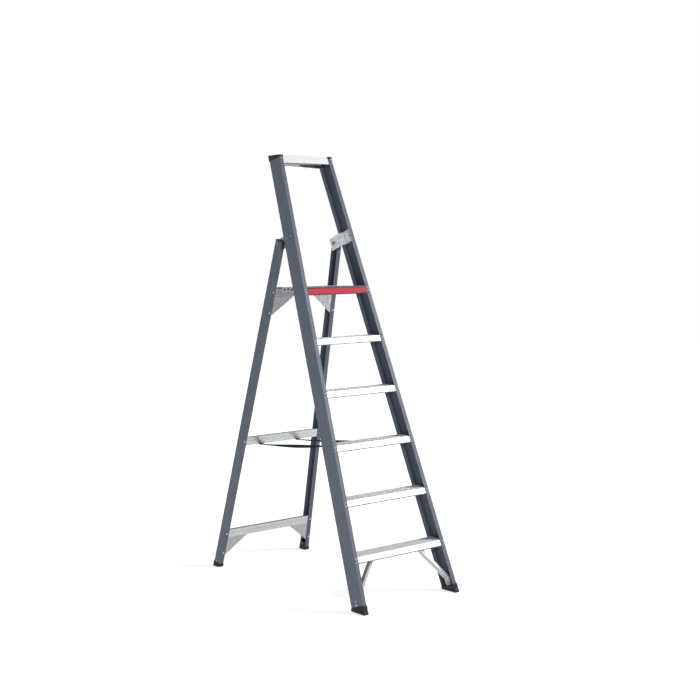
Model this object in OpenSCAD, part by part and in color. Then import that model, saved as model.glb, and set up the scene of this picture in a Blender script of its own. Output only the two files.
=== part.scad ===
// Single-sided step ladder with five treads, a platform step and a hand rail.
// It stands open. The origin is on the floor, at the middle of the space that the ladder takes up.
// +X points to the climber's right, +Y from the treads to the rear legs, and +Z up.

/* [Whole ladder] */
// Height of the top rail above the floor
total_height = 2040; // [2030:5:2060]
// Half of the width across the stiles at the floor
foot_half_width = 283.5; // [278:0.5:290]
// How far each side leans inwards for every millimetre of height
side_taper = 0.062; // [0.06:0.001:0.064]
// Distance from the front stiles to the rear legs along the floor
rear_foot_y = 1156; // [1150:1:1165]

/* [Front stiles] */
// Lean of the front frame from the vertical, in degrees
stile_tilt = 19.8; // [19.5:0.1:20.1]
// Depth of the stile's channel
stile_depth = 82.5; // [80:0.5:85]
// Width of the stile's flanges
stile_flange = 22.5; // [21:0.5:24]
// Wall thickness of the stile
stile_wall = 2.5; // [2:0.1:3]

/* [Rear legs] */
// Lean of the rear frame from the vertical, in degrees
leg_tilt = 15.9; // [15.7:0.1:16.1]
// Depth of the leg's channel
leg_depth = 47.5; // [45:0.5:50]
// Width of the leg's flanges
leg_flange = 24; // [22:0.5:25]
// Wall thickness of the leg
leg_wall = 2.2; // [2:0.1:2.6]

/* [Treads] */
// Distance between treads, measured along the stiles
step_pitch = 250; // [248:1:252]
// Height of a tread's front face
tread_face = 30; // [26:1:34]
// Wall thickness of a tread
tread_wall = 2.2; // [2:0.1:3]
// Width of the front lip that closes a tread from below
tread_lip = 30; // [26:1:32]
// Width of the rear lip that closes a tread from below
tread_rear_lip = 44; // [42:1:46]
// Number of grip ribs on a tread
rib_count = 13; // [9:1:13]

/* [Top rail] */
// Height of the rail's front wall
rail_front = 37; // [34:1:40]
// Height of the rail's rear wall
rail_rear = 54; // [50:1:56]

/* [Crossbars] */
// Height of a rear crossbar
bar_face = 42; // [38:1:44]
// Depth of a rear crossbar
bar_depth = 18; // [16:1:20]
// Reach of a gusset along its crossbar
gusset_reach = 112; // [100:1:118]
// Reach of a gusset down its leg
gusset_drop = 92; // [84:1:98]

/* [Main hinge] */
// Distance of the hinge pin from the rear leg's foot, along the leg
pivot_along_leg = 1676; // [1670:1:1682]
// Distance of the hinge pin behind the rear leg's front face
pivot_in_leg = 25; // [24:0.5:26]
// Radius of the hinge pin
pin_r = 5; // [4:0.25:6]
// Height of a hinge bracket along the stile
bracket_height = 60; // [54:1:64]

/* [Platform] */
// Width of the hinged platform
deck_width = 308; // [280:2:316]
// Thickness of the platform
deck_thickness = 20; // [18:0.5:21]
// Distance from the platform's hinge to the rear edge of its body
deck_reach = 128; // [120:1:132]

/* [Straps] */
// Places of the two opening straps across the ladder
strap_x = [-125, 100];
// Width of the webbing
strap_width = 25; // [20:1:30]

/* [Hidden] */
$fn = 32;
stile_colour = [0.35, 0.39, 0.43];
bare_colour = [0.84, 0.85, 0.87];
plate_colour = [0.68, 0.69, 0.70];
black_colour = [0.09, 0.09, 0.10];
steel_colour = [0.80, 0.80, 0.80];
red_colour = [0.78, 0.25, 0.30];

tread_count = 5;
sole = 6;
shoe_skin = 2.5;
pin_clearance = 0.05;
hole_clearance = 0.1;
rivet_r = 2.4;
rivet_head_r = 4.5;
rivet_head_h = 2;
corner_r = 2.5;
cap_front = 4;
cap_rear = 20;
cap_skin = 1.2;
cap_skirt = 11;
cap_skirt_start = 6;
cap_corner = 6;
strip_share = 0.55;
strip_step = 0.7;

// The front frame's plane leans back and the rear frame's plane leans forward.
front_lean = atan(side_taper * cos(stile_tilt));
leg_lean = atan(side_taper * cos(leg_tilt));
front_edge_y = -shoe_skin / cos(stile_tilt);
rear_edge_y = rear_foot_y + (leg_depth + shoe_skin) / cos(leg_tilt);
centre_y = (front_edge_y + rear_edge_y) / 2;
stile_start = (sole + stile_depth * sin(stile_tilt)) / cos(stile_tilt);
leg_start = sole / cos(leg_tilt);
leg_end = along_leg(pivot_along_leg, leg_flange) + 13;
leg_cap = 3;
leg_notch = 42;

// Heights of the treads, and the depth that fits between a stile's flanges
step_rise = step_pitch * cos(stile_tilt);
top_step_z = (tread_count + 1) * step_rise;
tread_depth = (stile_depth - 2 * stile_wall) / cos(stile_tilt) - 0.8;
rib_h = 1.2;
rib_w = 2.4;
edge_bevel = 2.4;
cover = 2.2;
cover_gap = 3;
cover_face = 37;
rivet_inset = 11;

// Where the hinge pin lies: on the ladder, and in the front frame's own plane
pivot_y = rear_foot_y + pivot_in_leg * cos(leg_tilt) - pivot_along_leg * sin(leg_tilt);
pivot_z = pivot_in_leg * sin(leg_tilt) + pivot_along_leg * cos(leg_tilt);
pivot_depth = pivot_y * cos(stile_tilt) - pivot_z * sin(stile_tilt);
pivot_along = pivot_y * sin(stile_tilt) + pivot_z * cos(stile_tilt);
pivot_half_width = foot_half_width - pivot_along_leg * tan(leg_lean);
leg_outside_stile = pivot_along * tan(front_lean) - pivot_along_leg * tan(leg_lean);
bracket_thick = 3;
bracket_gap = 2;
bracket_inset = leg_flange + bracket_gap - leg_outside_stile;
bracket_start = 17;
bracket_step = 68;
bracket_end = pivot_depth + 27;
bracket_ribs = [4, 23, 42];
bracket_rivets = [24, 62];
plug_length = 46;

// Rear crossbars: the height of each one's top
deck_lip = 2.7;
bar_wall = 2;
bar_lip = 10;
bar_gap = 0.9;
bar_tops = [194.5, 673, top_step_z - deck_lip - 0.4];
gusset_thick = 2.5;
gusset_gap = 0.3;
gusset_lip = 14;

// Platform hinge, behind the top step's rear wall
step_rear_y = top_step_z * tan(stile_tilt) + stile_wall / cos(stile_tilt) + tread_depth;
deck_axis_y = step_rear_y + 12.5;
deck_axis_z = top_step_z - 11.3;
deck_pin_r = 4;
barrel_r = 7.5;
lug_width = 14;
lug_places = [-142, 0, 142];
lug_gap = 1;
deck_lip_end = 178;

// Bottom braces: a pad on the stile's web, a sloping run, and a tab under the first tread
brace_width = 27;
brace_height = 12;
brace_thick = 2.2;
brace_depth = 43;
brace_pad = [36, 78];
brace_rivets = [50, 66];
brace_top_x = 147;
brace_tab = 36;

// Straps run from the middle crossbar to the back of the third tread
strap_thick = 2;
strap_tread = 3;
strap_front_drop = 14;
strap_clip_w = 29;

// ---- Placing ----

// Puts children into the front frame's plane: x across, y behind the stiles' front face, z along them.
module on_front_frame() {
    translate([0, -centre_y, 0])
        rotate([-stile_tilt, 0, 0])
            children();
}

// Puts children into the rear frame's plane, in the same way.
module on_rear_frame() {
    translate([0, rear_foot_y - centre_y, 0])
        rotate([leg_tilt, 0, 0])
            children();
}

// Draws what is made for the left side, on the left (-1) or mirrored to the right (+1).
module on_side(side) {
    if (side > 0)
        mirror([1, 0, 0])
            children();
    else
        children();
}

// Puts children at the left stile's outer face, with x pointing inwards and z along the stile.
module at_stile(side) {
    on_front_frame()
        on_side(side)
            translate([-foot_half_width, 0, 0])
                rotate([0, front_lean, 0])
                    children();
}

module at_leg(side) {
    on_rear_frame()
        on_side(side)
            translate([-foot_half_width, 0, 0])
                rotate([0, leg_lean, 0])
                    children();
}

// Extrudes an outline of (y, z) points along X, about the ladder's middle plane.
module across(width) {
    translate([-width / 2, 0, 0])
        rotate([90, 0, 90])
            linear_extrude(width)
                children();
}

// Half of the clear width between the stiles' webs, at a height and a depth in the channel
function stile_gap(z, depth) =
    foot_half_width - stile_wall / cos(front_lean)
    - tan(front_lean) * (z + depth * sin(stile_tilt)) / cos(stile_tilt);

// Half of the clear width between the legs' webs, at a distance along the leg
function leg_gap(along) = foot_half_width - leg_wall / cos(leg_lean) - tan(leg_lean) * along;

// Length along a leaning stile or leg that reaches a distance in its frame's plane, at an inset from its web
function along_stile(distance, inset = 0) = distance / cos(front_lean) + inset * tan(front_lean);
function along_leg(distance, inset = 0) = distance / cos(leg_lean) + inset * tan(leg_lean);

// How far inwards a point of the stile's inner web lies, at a distance along the stile
function stile_lean_x(along) = -foot_half_width + stile_wall / cos(front_lean) + tan(front_lean) * along;

// ---- Shared shapes ----

// A channel that is open towards +x, with rounded outer corners
module channel_outline(depth, flange, wall) {
    difference() {
        union() {
            translate([corner_r, 0])
                square([flange - corner_r, depth]);
            translate([0, corner_r])
                square([flange, depth - 2 * corner_r]);
            for (y = [corner_r, depth - corner_r])
                translate([corner_r, y])
                    circle(corner_r);
        }
        translate([wall, wall])
            square([flange, depth - 2 * wall]);
        translate([flange * strip_share, -1])
            square([flange, 1 + strip_step]);
    }
}

// A domed rivet along +z: its head stands on z = 0 and its shank goes down to -grip.
module rivet(grip) {
    intersection() {
        translate([0, 0, rivet_head_h - 6.2])
            sphere(6.2);
        cylinder(r = rivet_head_r, h = rivet_head_h);
    }
    flush_rivet(grip);
}

// A rivet whose outer end is level with the sheet
module flush_rivet(grip) {
    translate([0, 0, -grip])
        cylinder(r = rivet_r, h = grip);
    translate([0, 0, -grip - 1.2])
        cylinder(r = rivet_r + 1, h = 1.2);
}

module rivet_hole(depth) {
    translate([0, 0, -depth])
        cylinder(r = rivet_r + hole_clearance, h = 2 * depth);
}

// Everything above the sloping cut at the top of the stiles
module above_stiles() {
    front_y = (total_height - cap_front) * tan(stile_tilt);
    slope = atan((cap_rear - cap_front) * cos(stile_tilt) / stile_depth);
    translate([-foot_half_width, front_y - centre_y, total_height - cap_front])
        rotate([-slope, 0, 0])
            translate([0, -200, 0])
                cube([2 * foot_half_width, 500, 200]);
}

// Everything below the same cut
module below_stile_tops() {
    front_y = (total_height - cap_front) * tan(stile_tilt);
    slope = atan((cap_rear - cap_front) * cos(stile_tilt) / stile_depth);
    translate([-foot_half_width, front_y - centre_y, total_height - cap_front])
        rotate([-slope, 0, 0])
            translate([0, -300, -400])
                cube([2 * foot_half_width, 600, 400]);
}

module above_ladder() {
    translate([-foot_half_width, -centre_y, total_height])
        cube([2 * foot_half_width, 2 * centre_y, 400]);
}

module below_floor() {
    translate([-foot_half_width - 50, -2 * centre_y, -400])
        cube([2 * foot_half_width + 100, 4 * centre_y, 400]);
}

// ---- Rivet places ----

// Heights along the stile of the rivets that hold a step whose front edge is at height z
function step_rivet_along(z) = [for (drop = [7, 21]) (z - drop) / cos(stile_tilt)];
rail_rivet_along = [(total_height - 13) / cos(stile_tilt)];
tread_rivet_along = [
    for (i = [1 : tread_count + 1])
        for (along = step_rivet_along(i * step_rise))
            along
];
all_front_rivets = concat(tread_rivet_along, rail_rivet_along);

// Puts children on a stile's front flange, with +z pointing out of it
module on_front_flange(side, along) {
    at_stile(side)
        translate([rivet_inset, 0, along_stile(along, rivet_inset)])
            rotate([90, 0, 0])
                children();
}

module on_leg_flange(side, along) {
    at_leg(side)
        translate([rivet_inset, 0, along_leg(along, rivet_inset)])
            rotate([90, 0, 0])
                children();
}

// Distances along the leg of the rivets in its front flange
bar_rivet_along = [for (top = bar_tops) (top - bar_face / 2) / cos(leg_tilt)];
gusset_rivet_along = [for (i = [0, 2]) (bar_tops[i] - bar_face) / cos(leg_tilt) - gusset_drop + 10];
leg_rivets = concat(bar_rivet_along, gusset_rivet_along);

// Puts children on a stile's outer face, with +z pointing out of it
module on_stile_web(side, depth, along) {
    at_stile(side)
        translate([0, depth, along_stile(along)])
            rotate([0, -90, 0])
                children();
}

// ---- Front frame ----

module stile(side) {
    color(stile_colour)
        difference() {
            at_stile(side)
                translate([0, 0, stile_start])
                    linear_extrude(total_height / cos(stile_tilt) - stile_start + 20)
                        channel_outline(stile_depth, stile_flange, stile_wall);
            above_stiles();
            for (along = all_front_rivets)
                on_front_flange(side, along)
                    rivet_hole(4);
            for (depth = bracket_rivets)
                on_stile_web(side, depth, pivot_along)
                    rivet_hole(4);
            for (along = brace_rivets)
                on_stile_web(side, brace_depth, along)
                    rivet_hole(4);
        }
}

// A plastic cap on the top of a stile: a wedge that levels it off, and a skirt down its web and back
module stile_cap(side) {
    skin = cap_skin;
    color(black_colour)
        difference() {
            at_stile(side)
                translate([0, 0, total_height - 100])
                    linear_extrude(400)
                        union() {
                            translate([-skin, cap_skirt_start])
                                square([stile_flange + skin, stile_depth + skin - cap_skirt_start - cap_corner]);
                            translate([-skin, cap_skirt_start])
                                square([stile_flange + skin - cap_corner, stile_depth + skin - cap_skirt_start]);
                            translate([stile_flange - cap_corner, stile_depth + skin - cap_corner])
                                circle(cap_corner);
                            translate([0, -0.4])
                                square([stile_flange, 40]);
                        }
            difference() {
                at_stile(side)
                    translate([0, 0, total_height - 200])
                        linear_extrude(600)
                            translate([-0.05, -1])
                                square([stile_flange + 1, stile_depth + 1.05]);
                above_stiles();
            }
            translate([0, 0, -cap_skirt])
                below_stile_tops();
            above_ladder();
        }
}

// Outline of the part of a profile between two depths below its top, leaning like the stiles
module leaning_band(from_y, to_y, top, bottom, lean = tan(stile_tilt)) {
    polygon([
        [from_y - top * lean, -top],
        [to_y - top * lean, -top],
        [to_y - bottom * lean, -bottom],
        [from_y - bottom * lean, -bottom]
    ]);
}

module tread_outline() {
    lean = tan(stile_tilt);
    side = tread_wall / cos(stile_tilt);
    pitch = (tread_depth - 2 * rib_w) / (rib_count - 1);
    difference() {
        leaning_band(0, tread_depth, rib_h, tread_face);
        leaning_band(side, tread_depth - side, rib_h + tread_wall, tread_face - tread_wall);
        leaning_band(tread_lip, tread_depth - tread_rear_lip, tread_face - 2 * tread_wall, tread_face + 1);
        polygon([
            [-1 - tread_face * lean, -tread_face - 1],
            [-1 - tread_face * lean, edge_bevel - tread_face],
            [(edge_bevel - tread_face) * lean, edge_bevel - tread_face],
            [edge_bevel - tread_face * lean, -tread_face - 1]
        ]);
    }
    for (i = [0 : rib_count - 1])
        translate([rib_w / 2 + i * pitch, -rib_h - 0.2])
            square([rib_w, rib_h + 0.2]);
    for (y = [0.36, 0.64])
        translate([tread_depth * y, -rib_h - tread_wall - 5])
            square([tread_wall, 5.5]);
}

// Puts children at a step's front upper edge, behind the stiles' front flanges
module at_step(z) {
    translate([0, z * tan(stile_tilt) + stile_wall / cos(stile_tilt) - centre_y, z])
        children();
}

module step(index) {
    z = index * step_rise;
    half = stile_gap(z, stile_depth) - 0.5;
    color(bare_colour)
        difference() {
            at_step(z)
                across(2 * half)
                    tread_outline();
            for (side = [-1, 1])
                for (along = step_rivet_along(z))
                    on_front_flange(side, along)
                        rivet_hole(9);
            if (index == 1)
                brace_tab_rivets(rivet_r + hole_clearance);
            if (index == strap_tread)
                at_strap_front()
                    strap_anchor_rivet_place()
                        rivet_hole(9);
        }
}

// The coloured strip on the front of the top step, between the flanges
module top_step_cover() {
    z = top_step_z;
    half = stile_gap(z, 0) + stile_wall - stile_flange - 1.2;
    lean = tan(stile_tilt);
    color(red_colour)
        at_step(z)
            across(2 * half)
                translate([-cover / cos(stile_tilt) - 0.05, 0])
                    difference() {
                        leaning_band(0, cover / cos(stile_tilt), cover_gap, cover_face);
                        translate([-cover_face * lean, -cover_face])
                            rotate(45)
                                square([3.2, 3.2], center = true);
                    }
}

module rail_outline() {
    side = tread_wall / cos(stile_tilt);
    lean = tan(stile_tilt);
    difference() {
        polygon([
            [0, 0],
            [tread_depth, 0],
            [tread_depth - rail_rear * lean, -rail_rear],
            [tread_depth - rail_rear * lean - 14, -rail_rear],
            [14 - rail_front * lean, -rail_front],
            [-rail_front * lean, -rail_front]
        ]);
        polygon([
            [side - tread_wall * lean, -tread_wall],
            [tread_depth - side - tread_wall * lean, -tread_wall],
            [tread_depth - side - (rail_rear - tread_wall) * lean, tread_wall - rail_rear],
            [tread_depth - rail_rear * lean - 14, tread_wall - rail_rear],
            [tread_depth - rail_rear * lean - 14, -rail_rear - 1],
            [14 - rail_front * lean, -rail_rear - 1],
            [14 - rail_front * lean, tread_wall - rail_front],
            [side - (rail_front - tread_wall) * lean, tread_wall - rail_front]
        ]);
    }
}

module top_rail() {
    z = total_height - 0.5;
    half = stile_gap(z, stile_depth) - 0.5;
    color(bare_colour)
        difference() {
            at_step(z)
                across(2 * half)
                    rail_outline();
            intersection() {
                above_stiles();
                for (side = [-1, 1])
                    at_stile(side)
                        translate([-1, -1, total_height - 100])
                            cube([stile_flange + 1.4, stile_depth + 2, 400]);
            }
            for (side = [-1, 1])
                for (along = rail_rivet_along)
                    on_front_flange(side, along)
                        rivet_hole(9);
        }
}

module tread_rivets() {
    color(steel_colour) {
        for (side = [-1, 1])
            for (along = all_front_rivets)
                on_front_flange(side, along)
                    rivet(stile_wall + tread_wall);
        at_strap_front()
            strap_anchor_rivet_place()
                rivet(2.4 + tread_wall);
    }
}

// Wedge-shaped rubber foot under a front stile, with a tongue that reaches up inside the channel
module front_shoe(side) {
    color(black_colour)
        difference() {
            at_stile(side)
                union() {
                    translate([-shoe_skin, -shoe_skin, -60])
                        cube([stile_flange + 2 * shoe_skin, stile_depth + 2 * shoe_skin, 60 + stile_start]);
                    translate([stile_wall + 0.2, stile_depth - stile_wall - 19.2, stile_start - 1])
                        cube([stile_flange - stile_wall - 1, 19, 64]);
                    translate([stile_wall + 0.2, stile_wall + 0.2, stile_start - 1])
                        cube([stile_flange - stile_wall - 1, 8, 22]);
                }
            below_floor();
        }
}

// Three points of a brace's bent line in the left half, at a distance inwards from its outer face
function brace_line(inset) =
    let (
        pad = [stile_lean_x(brace_pad[0]) + 0.4, brace_pad[0]],
        kink = [stile_lean_x(brace_pad[1]) + 0.4, brace_pad[1]],
        top = [-brace_top_x, (step_rise - tread_face + brace_depth * sin(stile_tilt)) / cos(stile_tilt)],
        run = (top - kink) / norm(top - kink),
        side = [run[1], -run[0]]
    )
    [
        pad + [inset, 0],
        kink + inset * [1, side[1] / (1 + side[0])],
        top + 14 * run + inset * side
    ];

// The band between two distances inwards from a brace's outer face
module brace_band(from_inset, to_inset, width) {
    inner = brace_line(to_inset);
    on_front_frame()
        translate([0, brace_depth + width / 2, 0])
            rotate([90, 0, 0])
                linear_extrude(width)
                    polygon(concat(brace_line(from_inset), [for (i = [2 : -1 : 0]) inner[i]]));
}

// Bent channel that ties the first tread to the foot of a stile
module brace(side) {
    color(plate_colour)
        on_side(side)
            difference() {
                union() {
                    difference() {
                        brace_band(0, brace_height, brace_width);
                        brace_band(brace_thick, brace_height + 20, brace_width - 2 * brace_thick);
                        brace_space();
                    }
                    brace_tab_plate();
                }
                on_front_frame_left_web(brace_rivets);
                brace_tab_rivets(rivet_r + hole_clearance);
            }
}

// Everything above the middle of a brace's upper tab
module brace_space() {
    translate([-foot_half_width, -centre_y, step_rise - tread_face - brace_thick / 2])
        cube([2 * foot_half_width, 400, 200]);
}

// The tab that lies flat under the first tread's rear lip
module brace_tab_plate() {
    z = step_rise - tread_face;
    y = z * tan(stile_tilt) + brace_depth / cos(stile_tilt);
    translate([-brace_top_x - 4, y - brace_width / 2 - centre_y, z - brace_thick])
        cube([brace_tab, brace_width, brace_thick]);
}

module on_front_frame_left_web(places) {
    for (along = places)
        on_stile_web(-1, brace_depth, along)
            rivet_hole(9);
}

module brace_tab_rivets(r) {
    z = step_rise - tread_face;
    y = z * tan(stile_tilt) + brace_depth / cos(stile_tilt);
    for (side = [-1, 1])
        translate([side * (brace_top_x - 18), y - centre_y, z - brace_thick - 1])
            cylinder(r = r, h = brace_thick + tread_wall + 2);
}

module brace_rivets() {
    z = step_rise - tread_face;
    y = z * tan(stile_tilt) + brace_depth / cos(stile_tilt);
    color(steel_colour) {
        for (side = [-1, 1]) {
            on_stile_web(side, brace_depth, brace_rivets[0])
                rivet(stile_wall + brace_thick + 0.8);
            on_stile_web(side, brace_depth, brace_rivets[1])
                flush_rivet(stile_wall + brace_thick + 0.8);
        }
        for (side = [-1, 1])
            translate([side * (brace_top_x - 18), y - centre_y, z - brace_thick])
                mirror([0, 0, 1])
                    rivet(brace_thick + tread_wall);
    }
}

// Pressed plate that steps out of the stile's channel and carries the rear leg's pin
module hinge_bracket(side) {
    t = bracket_thick;
    inset = stile_wall;
    color(plate_colour)
        difference() {
            at_stile(side)
                translate([0, 0, along_stile(pivot_along, bracket_inset) - bracket_height / 2])
                    union() {
                        linear_extrude(bracket_height)
                            polygon([
                                [inset, bracket_start],
                                [inset, bracket_step],
                                [bracket_inset, bracket_step + 10],
                                [bracket_inset, bracket_end],
                                [bracket_inset + t, bracket_end],
                                [bracket_inset + t, bracket_step + 8],
                                [inset + t, bracket_step - 1.6],
                                [inset + t, bracket_start]
                            ]);
                        for (z = bracket_ribs)
                            translate([inset + t - 0.1, bracket_start + 13, z])
                                rotate([-90, 0, 0])
                                    linear_extrude(28)
                                        polygon([[0, -13], [3.6, -10.5], [3.6, -2.5], [0, 0]]);
                        for (z = [4, bracket_height - 7])
                            translate([bracket_inset + t - 0.1, bracket_step + 14, z])
                                cube([1.8, bracket_end - bracket_step - 18, 3]);
                    }
            for (depth = bracket_rivets)
                on_stile_web(side, depth, pivot_along)
                    rivet_hole(9);
            pivot_cylinder(side, pin_r + pin_clearance, 10, 50);
        }
}

// A cylinder on the hinge axis, between two distances inwards from the outer face
module pivot_cylinder(side, r, from_x, to_x) {
    on_side(side)
        translate([-pivot_half_width + from_x, pivot_y - centre_y, pivot_z])
            rotate([0, 90, 0])
                cylinder(r = r, h = to_x - from_x);
}

module bracket_rivets() {
    color(steel_colour)
        for (side = [-1, 1])
            for (depth = bracket_rivets)
                on_stile_web(side, depth, pivot_along)
                    rivet(stile_wall + bracket_thick);
}

// ---- Platform and its hinge ----

module at_deck_axis() {
    translate([0, deck_axis_y - centre_y, deck_axis_z])
        children();
}

// A strip on the top step's rear wall, with three lugs that hold the platform's pin
module platform_hinge() {
    lean = tan(stile_tilt);
    back = step_rear_y - deck_axis_y + 0.1;
    leaf_top = deck_axis_z + 6 - top_step_z;
    leaf_bottom = -tread_face + 2;
    color(plate_colour)
        difference() {
            at_deck_axis()
                union() {
                    across(deck_width - 8)
                        translate([back, top_step_z - deck_axis_z])
                            polygon([
                                [leaf_top * lean, leaf_top],
                                [leaf_top * lean + 2, leaf_top],
                                [leaf_bottom * lean + 2, leaf_bottom],
                                [leaf_bottom * lean, leaf_bottom]
                            ]);
                    for (x = lug_places)
                        translate([x, 0, 0])
                            across(lug_width)
                                union() {
                                    circle(barrel_r);
                                    polygon([
                                        [back - 6 * lean + 1, -barrel_r + 1],
                                        [0, -barrel_r],
                                        [0, barrel_r],
                                        [back + 1, 5]
                                    ]);
                                }
                }
            at_deck_axis()
                across(deck_width + 20)
                    circle(deck_pin_r + pin_clearance);
        }
}

module platform_pin() {
    color(steel_colour)
        at_deck_axis()
            across(deck_width - 10)
                circle(deck_pin_r);
}

// Ribbed hollow deck with a barrel round the pin and a thin lip that rests on the deck crossbar
module platform() {
    top = top_step_z - deck_axis_z;
    bottom = top - deck_thickness;
    wall = tread_wall;
    cells = 4;
    front = barrel_r + 4;
    cell = (deck_reach - front - wall) / cells;
    rib_pitch = 6.6;
    color(bare_colour)
        difference() {
            at_deck_axis()
                across(deck_width)
                    union() {
                        difference() {
                            union() {
                                translate([front, bottom])
                                    square([deck_reach - front, deck_thickness - rib_h]);
                                translate([0, top - rib_h - wall])
                                    square([deck_reach, wall]);
                                translate([deck_reach - 1, top - deck_lip])
                                    square([deck_lip_end - deck_reach + 1, deck_lip]);
                                circle(barrel_r);
                                translate([-wall, 4])
                                    square([2 * wall, top - rib_h - 4]);
                            }
                            for (i = [0 : cells - 1])
                                translate([front + wall + i * cell, bottom + wall])
                                    square([cell - wall, deck_thickness - rib_h - 2 * wall]);
                        }
                        for (y = [1 : rib_pitch : deck_reach - rib_w])
                            translate([y, top - rib_h - 0.2])
                                square([rib_w, rib_h + 0.2]);
                    }
            at_deck_axis()
                across(deck_width + 20)
                    circle(deck_pin_r + pin_clearance);
            for (x = lug_places)
                at_deck_axis()
                    translate([x, 0, 0])
                        across(lug_width + 2 * lug_gap)
                            translate([-20, -20])
                                square([20 + barrel_r + 1.5, 40]);
        }
}

// ---- Rear frame ----

// A channel, with its front flange notched away in front of the plug at its top
module leg(side) {
    color(stile_colour)
        difference() {
            at_leg(side)
                translate([0, 0, leg_start])
                    linear_extrude(leg_end - leg_start)
                        channel_outline(leg_depth, leg_flange, leg_wall);
            at_leg(side)
                translate([leg_wall + 3, -1, leg_end - leg_notch])
                    cube([leg_flange, leg_wall + 1.1, leg_notch + 1]);
            for (along = leg_rivets)
                on_leg_flange(side, along)
                    rivet_hole(4);
            pivot_cylinder(side, pin_r + hole_clearance, -10, 12);
            on_leg_web(side, leg_depth * 0.6, leg_start + 16)
                rivet_hole(4);
        }
}

module on_leg_web(side, depth, along) {
    at_leg(side)
        translate([0, depth, along_leg(along)])
            rotate([0, -90, 0])
                children();
}

// Plastic block in the top of a leg, which guides the hinge pin and closes the end
module leg_plug(side) {
    color(black_colour)
        difference() {
            at_leg(side)
                union() {
                    translate([0, 0, leg_end])
                        cube([leg_flange, leg_depth, leg_cap]);
                    translate([leg_wall + 0.15, leg_wall + 0.15, leg_end - plug_length])
                        cube([leg_flange - leg_wall - 0.6, leg_depth - 2 * leg_wall - 0.3, plug_length + 1]);
                    translate([leg_wall + 3.2, 0.2, leg_end - leg_notch + 0.2])
                        cube([leg_flange - leg_wall - 3.65, leg_wall + 1, leg_notch]);
                }
            pivot_cylinder(side, pin_r + hole_clearance, -10, 40);
        }
}

module pivot_bolt(side) {
    head = 4;
    nut = leg_flange + bracket_gap + bracket_thick + 0.9;
    color(steel_colour)
        union() {
            pivot_cylinder(side, pin_r, -0.8, nut + 7);
            difference() {
                pivot_cylinder(side, 9, -0.8 - head, -0.8);
                pivot_cylinder(side, 5.5, -2 - head, -2.4);
            }
            on_side(side)
                translate([-pivot_half_width + nut, pivot_y - centre_y, pivot_z])
                    rotate([0, 90, 0])
                        cylinder(r = 9, h = 6, $fn = 6);
        }
}

// Nylon washers between each leg's plug and its hinge bracket
module pivot_washers() {
    color(black_colour)
        for (side = [-1, 1])
            difference() {
                pivot_cylinder(side, 10, leg_flange + 0.5, leg_flange + bracket_gap - 0.8);
                pivot_cylinder(side, pin_r + pin_clearance, 0, 50);
            }
}

// Puts children at a crossbar's front upper edge, behind the legs' front flanges
module at_bar(index, gap) {
    y = rear_foot_y + (leg_wall + gap) / cos(leg_tilt) - bar_tops[index] * tan(leg_tilt);
    translate([0, y - centre_y, bar_tops[index]])
        children();
}

// Outline of a crossbar: a channel that is open to the rear, with a raised band along its front
module bar_outline() {
    lean = -tan(leg_tilt);
    wall = bar_wall / cos(leg_tilt);
    difference() {
        leaning_band(0, bar_depth, 0, bar_face, lean);
        leaning_band(wall, bar_depth + 1, bar_wall, bar_face - bar_wall, lean);
        leaning_band(bar_lip, bar_depth + 1, bar_face - bar_wall - 1, bar_face + 1, lean);
    }
    leaning_band(-0.8, 0.2, bar_face * 0.42, bar_face * 0.58, lean);
}

module crossbar(index) {
    half = leg_gap(bar_tops[index] / cos(leg_tilt)) - 0.6;
    color(bare_colour)
        difference() {
            at_bar(index, bar_gap)
                across(2 * half)
                    bar_outline();
            for (side = [-1, 1])
                on_leg_flange(side, bar_rivet_along[index])
                    rivet_hole(9);
            if (index == 1)
                strap_clip_rivet_places()
                    rivet_hole(12);
        }
}

// Triangular plate under the end of a crossbar, with a lip against the bar's underside
module gusset(side, index) {
    top = (bar_tops[index] - bar_face) / cos(leg_tilt) - 1.5;
    web_x = 0.6 - leg_gap(top - gusset_drop);
    top_x = 0.6 - leg_gap(top);
    inner_x = top_x + 18 + gusset_reach;
    lean = -tan(leg_tilt);
    color(plate_colour)
        difference() {
            union() {
                on_side(side)
                    on_rear_frame()
                        translate([0, leg_wall + gusset_gap + gusset_thick, 0])
                            rotate([90, 0, 0])
                                linear_extrude(gusset_thick)
                                    polygon([
                                        [web_x, top - gusset_drop],
                                        [top_x, top],
                                        [inner_x, top],
                                        [inner_x, top - 5],
                                        [web_x + 26, top - gusset_drop]
                                    ]);
                on_side(side)
                    translate([top_x, 0, 0])
                        at_bar(index, gusset_gap)
                            rotate([90, 0, 90])
                                linear_extrude(inner_x - top_x)
                                    leaning_band(0, gusset_lip, bar_face + 0.2,
                                        bar_face + 0.2 + gusset_thick, lean);
            }
            for (along = gusset_rivet_along)
                on_leg_flange(side, along)
                    rivet_hole(9);
        }
}

module crossbar_rivets() {
    color(steel_colour) {
        for (side = [-1, 1]) {
            for (along = bar_rivet_along)
                on_leg_flange(side, along)
                    rivet(leg_wall + bar_gap + bar_wall);
            for (along = gusset_rivet_along)
                on_leg_flange(side, along)
                    rivet(leg_wall + gusset_gap + gusset_thick);
        }
        strap_clip_rivet_places()
            rivet(1.8 + bar_wall);
    }
}

// Wedge-shaped rubber foot under a rear leg
module rear_shoe(side) {
    color(black_colour)
        difference() {
            at_leg(side)
                union() {
                    translate([-shoe_skin, -shoe_skin, -40])
                        cube([leg_flange + 2 * shoe_skin, leg_depth + 2 * shoe_skin, 40 + leg_start]);
                    translate([leg_wall + 0.2, leg_wall + 0.2, leg_start - 1])
                        cube([leg_flange - leg_wall - 1, leg_depth - 2 * leg_wall - 0.4, 34]);
                }
            below_floor();
            on_leg_web(side, leg_depth * 0.6, leg_start + 16)
                rivet_hole(40);
        }
}

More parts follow.
